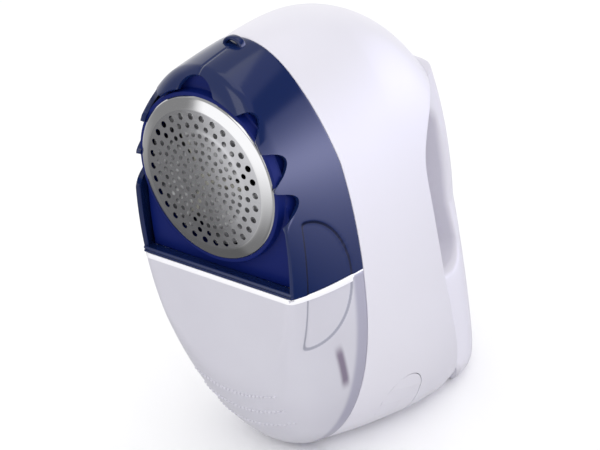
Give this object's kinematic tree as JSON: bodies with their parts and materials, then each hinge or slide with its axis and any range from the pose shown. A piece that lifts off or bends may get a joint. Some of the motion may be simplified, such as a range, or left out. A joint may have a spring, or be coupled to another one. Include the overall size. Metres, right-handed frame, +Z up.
{
  "type": "fabric shaver",
  "caption": "Battery fabric shaver with a round perforated foil head, scalloped distance guard, clear lint bin and closed loop handle.",
  "frame": {"origin": "centre of the bounding box's underside, on the plane the shaver stands on", "axes": "+Z up, the foil head faces -Y, +X to the right seen from the front"},
  "size_m": [0.085, 0.1212, 0.1647],
  "materials": {
    "white_shell": "gloss, moulded",
    "royal_blue": "gloss, moulded",
    "navy_guard": "high gloss, moulded",
    "clear_bin": "frosted translucent, moulded",
    "foil_steel": "perforated and polished",
    "spring_steel": "drawn wire",
    "plated_steel": "bright zinc plate",
    "motor_steel": "deep drawn can",
    "ferrite": "sintered, matt",
    "armature": "laminations and copper wire",
    "natural_nylon": "moulded, matt",
    "black_plastic": "moulded, matt",
    "grey_plastic": "moulded, matt",
    "red_plastic": "moulded",
    "bronze": "sintered bronze",
    "brass": "stamped sheet",
    "cell_sleeve": "shrink sleeve over a can",
    "wire": "PVC insulation"
  },
  "bodies": {
    "housing": {"main_housing": "white_shell", "handle_cover": "white_shell", "head_plate": "royal_blue", "cutter_chamber": "grey_plastic", "shaft_bush": "bronze", "motor_can": "motor_steel", "motor_magnets": "ferrite", "motor_end_cap": "natural_nylon", "motor_terminals": "brass", "motor_clamp": "black_plastic", "battery_holder": "black_plastic", "battery_left": "cell_sleeve", "battery_right": "cell_sleeve", "battery_terminals": "plated_steel", "terminal_spring": "spring_steel", "switch_body": "black_plastic", "switch_terminals": "brass", "interlock_switch": "black_plastic", "head_screws": "plated_steel", "chamber_screws": "plated_steel", "clamp_screws": "plated_steel", "handle_screws": "plated_steel", "wiring": "wire"},
    "guard": {"fabric_guard": "navy_guard"},
    "bin": {"lint_bin": "clear_bin"},
    "foil_head": {"foil": "foil_steel", "foil_ring": "royal_blue"},
    "rotor": {"cutter_blades": "foil_steel", "blade_carrier": "natural_nylon", "blade_spring": "spring_steel", "fan": "black_plastic", "motor_shaft": "plated_steel", "motor_armature": "armature"},
    "door": {"battery_door": "white_shell", "door_link_plate": "plated_steel", "door_spring": "spring_steel"},
    "switch": {"switch_button": "navy_guard"},
    "plunger": {"interlock_plunger": "red_plastic"}
  },
  "joints": [
    {"name": "guard_pull", "type": "slide", "parent": "housing", "child": "guard", "axis": [0, -1, 0], "range_m": [0, 0.045]},
    {"name": "bin_pull", "type": "slide", "parent": "housing", "child": "bin", "axis": [0, -1, 0], "range_m": [0, 0.045]},
    {"name": "foil_twist", "type": "hinge", "parent": "housing", "child": "foil_head", "pos_m": [0, 0, 0.12], "axis": [0, -1, 0], "range_deg": [0, 28]},
    {"name": "rotor_spin", "type": "hinge", "parent": "housing", "child": "rotor", "pos_m": [0, 0, 0.12], "axis": [0, -1, 0], "continuous": true},
    {"name": "door_drop", "type": "slide", "parent": "housing", "child": "door", "axis": [0, 0, -1], "range_m": [0, 0.03]},
    {"name": "switch_slide", "type": "slide", "parent": "housing", "child": "switch", "axis": [0, -0.2419, 0.9703], "range_m": [0, 0.005]},
    {"name": "plunger_press", "type": "slide", "parent": "housing", "child": "plunger", "axis": [0, 1, 0], "range_m": [0, 0.001], "stiffness_N_per_m": 50}
  ]
}
